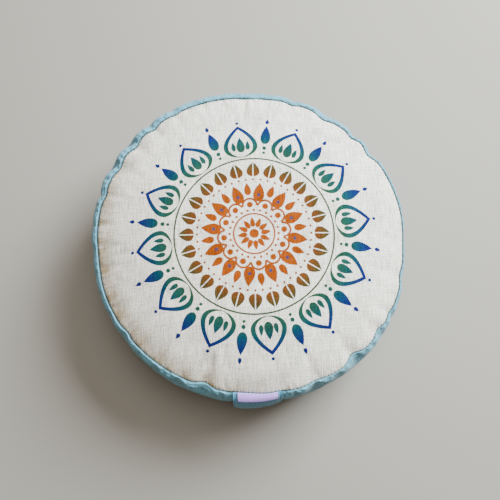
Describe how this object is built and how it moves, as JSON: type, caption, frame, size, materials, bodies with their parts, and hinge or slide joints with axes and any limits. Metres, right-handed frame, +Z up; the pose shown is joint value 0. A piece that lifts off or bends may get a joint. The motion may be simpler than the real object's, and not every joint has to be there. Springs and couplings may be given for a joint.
{
  "type": "zafu meditation cushion",
  "caption": "Round filled sitting cushion with a crowned off-white top, a puffed light blue side band gathered at its seams, a carry strap and a blank label.",
  "frame": {"origin": "on the surface it rests on, at the axis of the round body", "axes": "+Z up out of the crowned top panel, -Y out through the middle of the carry handle"},
  "size_m": [0.3518, 0.3655, 0.13],
  "materials": {
    "band_linen": "matte light blue linen weave",
    "top_linen": "matte off-white linen weave with a coloured print",
    "handle_linen": "matte blue linen weave, folded double",
    "label_satin": "smooth lavender woven label, blank"
  },
  "bodies": {
    "root": {"side_band": "band_linen", "top_panel": "top_linen", "base_panel": "band_linen", "carry_handle": "handle_linen", "side_label": "label_satin"}
  },
  "joints": []
}
